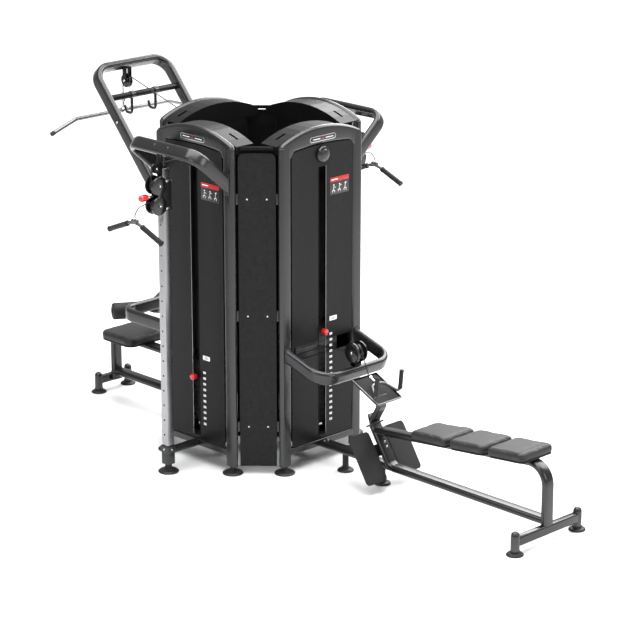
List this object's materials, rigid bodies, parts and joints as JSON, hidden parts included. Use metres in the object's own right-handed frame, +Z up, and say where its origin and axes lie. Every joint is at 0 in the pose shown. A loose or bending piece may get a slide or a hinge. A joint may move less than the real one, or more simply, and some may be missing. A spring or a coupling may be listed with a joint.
{
  "type": "multi station home gym",
  "caption": "Free-standing weight-stack gym: seated row bench, lat pull-down seat and height-adjustable cable columns around a covered core.",
  "frame": {"origin": "on the floor at the core's centre, under its central foot", "axes": "+Z up; +X from the core along the row bench, so the lat seat is at -X; the two cable columns are at +Y and -Y"},
  "size_m": [3.681, 1.9322, 2.1474],
  "materials": {
    "frame_grey": "dark metallic grey powder coat, satin",
    "cover_black": "black powder-coated sheet, satin",
    "stack_grey": "dark grey painted plates, semi-matt",
    "steel": "brushed, slightly worn",
    "chrome": "bright",
    "upholstery": "dark grey vinyl, fine grain, matt",
    "foam": "skinned foam, matt",
    "rubber": "ribbed, matt",
    "knob_red": "glossy",
    "cable_black": "coated steel cable, semi-gloss"
  },
  "bodies": {
    "machine": {"core_base": "frame_grey", "row_tower_frame": "frame_grey", "row_hood": "cover_black", "row_front_cover": "cover_black", "row_corner_panel": "cover_black", "row_weight_stack": "stack_grey", "north_tower_frame": "frame_grey", "north_hood": "cover_black", "north_front_cover": "cover_black", "north_corner_panel": "cover_black", "north_weight_stack": "stack_grey", "lat_tower_frame": "frame_grey", "lat_hood": "cover_black", "lat_front_cover": "cover_black", "lat_corner_panel": "cover_black", "lat_weight_stack": "stack_grey", "south_tower_frame": "frame_grey", "south_hood": "cover_black", "south_front_cover": "cover_black", "south_corner_panel": "cover_black", "south_weight_stack": "stack_grey", "row_u_bar": "frame_grey", "row_tray": "cover_black", "row_bench_frame": "frame_grey", "row_foot_plates": "rubber", "row_seat_pads": "upholstery", "row_cable": "cable_black", "lat_hoop": "frame_grey", "lat_seat_frame": "frame_grey", "lat_seat_pad": "upholstery", "lat_thigh_bar": "frame_grey", "lat_cable": "cable_black", "north_boom": "frame_grey", "north_column": "chrome", "north_cable_run": "cable_black", "south_boom": "frame_grey", "south_column": "chrome", "south_cable_run": "cable_black"},
    "row_lifted": {"row_lifted_plates": "steel"},
    "row_pin": {"row_selector_pin": "knob_red"},
    "north_lifted": {"north_lifted_plates": "steel"},
    "north_pin": {"north_selector_pin": "knob_red"},
    "lat_lifted": {"lat_lifted_plates": "steel"},
    "lat_pin": {"lat_selector_pin": "knob_red"},
    "south_lifted": {"south_lifted_plates": "steel"},
    "south_pin": {"south_selector_pin": "knob_red"},
    "row_wheel": {"row_pulley": "cover_black"},
    "row_grip": {"row_handle": "steel"},
    "lat_wheel": {"lat_pulley": "rubber"},
    "lat_handle": {"lat_bar": "steel"},
    "roller_left": {"lat_roller_left": "foam"},
    "roller_right": {"lat_roller_right": "foam"},
    "north_head": {"north_carriage": "cover_black", "north_cable_tail": "cable_black"},
    "north_lock": {"north_lock_knob": "knob_red"},
    "north_grip": {"north_cable_bar": "rubber"},
    "south_head": {"south_carriage": "cover_black", "south_cable_tail": "cable_black"},
    "south_lock": {"south_lock_knob": "knob_red"},
    "south_grip": {"south_cable_bar": "rubber"}
  },
  "joints": [
    {"name": "row_stack_lift", "type": "slide", "parent": "machine", "child": "row_lifted", "axis": [0, 0, 1], "range_m": [0, 0.85]},
    {"name": "row_pin_pull", "type": "slide", "parent": "row_lifted", "child": "row_pin", "axis": [1, 0, 0], "range_m": [0, 0.09]},
    {"name": "north_stack_lift", "type": "slide", "parent": "machine", "child": "north_lifted", "axis": [0, 0, 1], "range_m": [0, 0.5]},
    {"name": "north_pin_pull", "type": "slide", "parent": "north_lifted", "child": "north_pin", "axis": [0, 1, 0], "range_m": [0, 0.09]},
    {"name": "lat_stack_lift", "type": "slide", "parent": "machine", "child": "lat_lifted", "axis": [0, 0, 1], "range_m": [0, 0.85]},
    {"name": "lat_pin_pull", "type": "slide", "parent": "lat_lifted", "child": "lat_pin", "axis": [-1, 0, 0], "range_m": [0, 0.09]},
    {"name": "south_stack_lift", "type": "slide", "parent": "machine", "child": "south_lifted", "axis": [0, 0, 1], "range_m": [0, 0.5]},
    {"name": "south_pin_pull", "type": "slide", "parent": "south_lifted", "child": "south_pin", "axis": [0, -1, 0], "range_m": [0, 0.09]},
    {"name": "row_handle_pull", "type": "slide", "parent": "machine", "child": "row_grip", "axis": [1, 0, 0], "range_m": [0, 0.85]},
    {"name": "row_pulley_spin", "type": "hinge", "parent": "machine", "child": "row_wheel", "pos_m": [0.786, 0, 0.737], "axis": [0, 1, 0], "continuous": true},
    {"name": "lat_bar_pull", "type": "slide", "parent": "machine", "child": "lat_handle", "axis": [0, 0, -1], "range_m": [0, 0.85]},
    {"name": "lat_pulley_spin", "type": "hinge", "parent": "machine", "child": "lat_wheel", "pos_m": [-1.167, 0, 2.00933], "axis": [0, 1, 0], "continuous": true},
    {"name": "roller_left_spin", "type": "hinge", "parent": "machine", "child": "roller_left", "pos_m": [-0.982, 0.03, 0.61], "axis": [-0.5299, 0.848, 0], "continuous": true},
    {"name": "roller_right_spin", "type": "hinge", "parent": "machine", "child": "roller_right", "pos_m": [-0.982, -0.03, 0.61], "axis": [-0.5299, -0.848, 0], "continuous": true},
    {"name": "north_carriage_slide", "type": "slide", "parent": "machine", "child": "north_head", "axis": [0, 0, 1], "range_m": [-1.2432, 0]},
    {"name": "north_lock_pull", "type": "slide", "parent": "north_head", "child": "north_lock", "axis": [0, 1, 0], "range_m": [0, 0.012], "stiffness_N_per_m": 400},
    {"name": "north_bar_pull", "type": "slide", "parent": "north_head", "child": "north_grip", "axis": [0, 1, 0], "range_m": [0, 1]},
    {"name": "south_carriage_slide", "type": "slide", "parent": "machine", "child": "south_head", "axis": [0, 0, 1], "range_m": [-1.2432, 0]},
    {"name": "south_lock_pull", "type": "slide", "parent": "south_head", "child": "south_lock", "axis": [0, -1, 0], "range_m": [0, 0.012], "stiffness_N_per_m": 400},
    {"name": "south_bar_pull", "type": "slide", "parent": "south_head", "child": "south_grip", "axis": [0, -1, 0], "range_m": [0, 1]}
  ],
  "couplings": [
    {"joint": "row_handle_pull", "follows": "row_stack_lift", "ratio": 1},
    {"joint": "row_pulley_spin", "follows": "row_stack_lift", "rad_per_m": 22.2},
    {"joint": "lat_bar_pull", "follows": "lat_stack_lift", "ratio": 1},
    {"joint": "lat_pulley_spin", "follows": "lat_stack_lift", "rad_per_m": -27},
    {"joint": "north_bar_pull", "follows": "north_stack_lift", "ratio": 2},
    {"joint": "south_bar_pull", "follows": "south_stack_lift", "ratio": 2}
  ]
}
